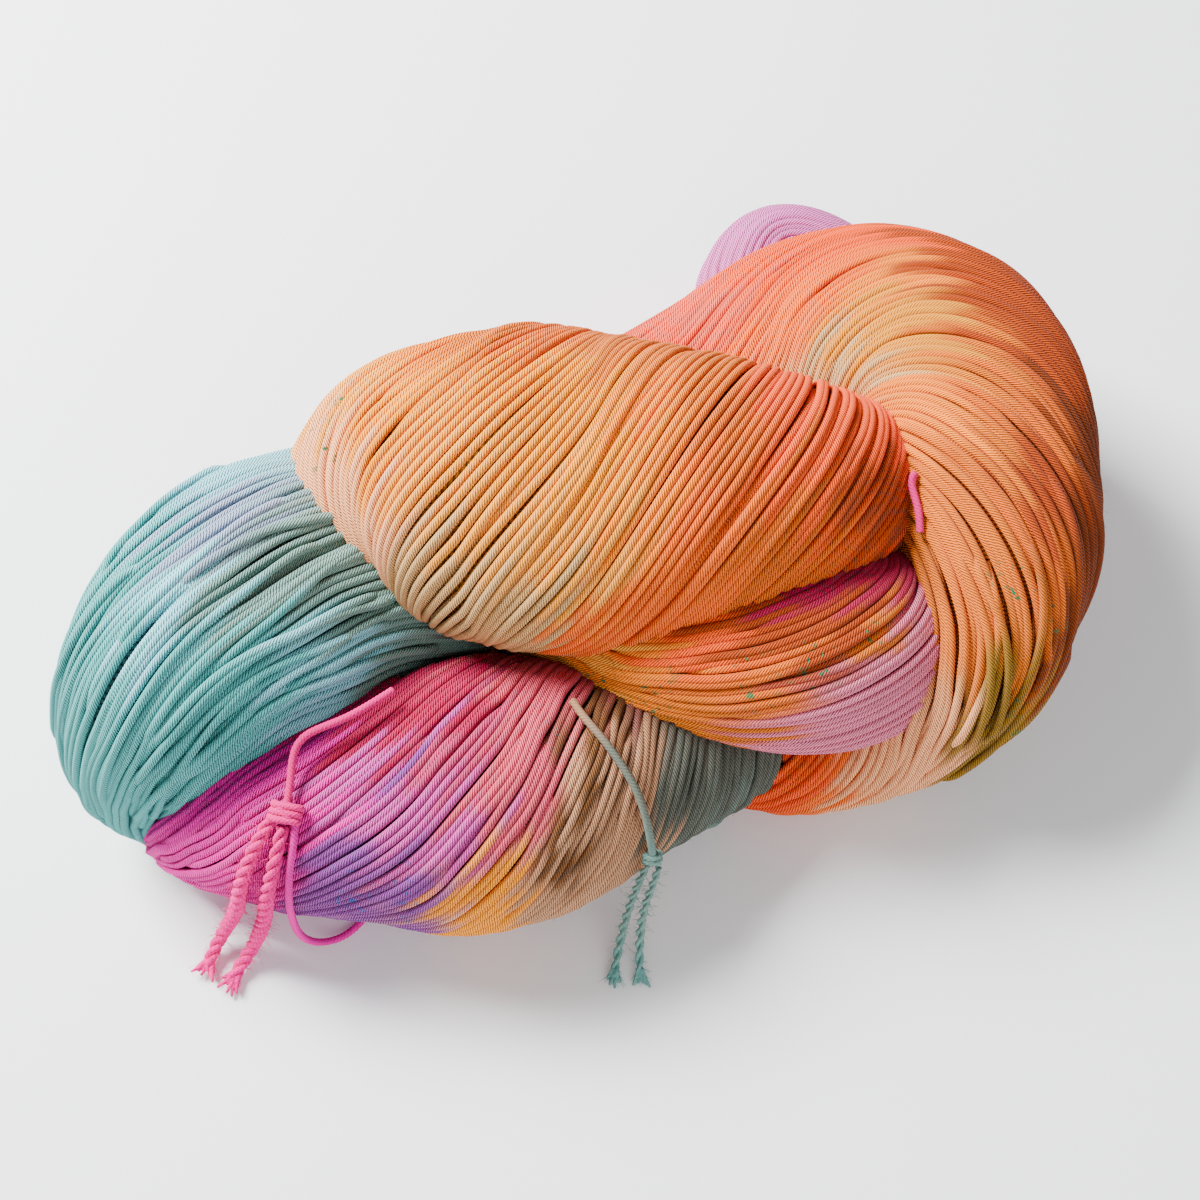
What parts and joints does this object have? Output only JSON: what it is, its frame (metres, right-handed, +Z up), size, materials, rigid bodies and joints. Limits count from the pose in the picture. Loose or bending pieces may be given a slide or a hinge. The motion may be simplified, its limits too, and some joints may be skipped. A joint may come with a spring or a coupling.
{
  "type": "skein of yarn",
  "caption": "Twisted skein of hand-dyed wool yarn lying on its side, a closed loop folded and twisted on itself, with two knotted ties that have free ends.",
  "frame": {"origin": "the middle of the underside of the skein, on the surface it rests on, without the ties' free threads", "axes": "+X along the skein's length to the right, +Y away from the side with the ties, +Z up"},
  "size_m": [0.2085, 0.1728, 0.0808],
  "materials": {
    "dyed_wool": "smooth plied wool dyed by hand in orange, peach, pink, magenta, lilac and teal, with green and blue speckles",
    "pink_wool": "plied wool tie dyed pink with the skein, soft and a little fuzzy",
    "teal_wool": "plied wool tie dyed grey and pale teal with the skein, soft and a little fuzzy"
  },
  "bodies": {
    "root": {"skein": "dyed_wool", "pink_tie_thread": "pink_wool", "pink_tie_knot": "pink_wool", "pink_tie_loop": "pink_wool", "pink_tie_tail_left": "pink_wool", "pink_tie_tail_right": "pink_wool", "inner_tie_thread": "pink_wool", "teal_tie_thread": "teal_wool", "teal_tie_knot": "teal_wool", "teal_tie_tail_left": "teal_wool", "teal_tie_tail_right": "teal_wool"}
  },
  "joints": []
}
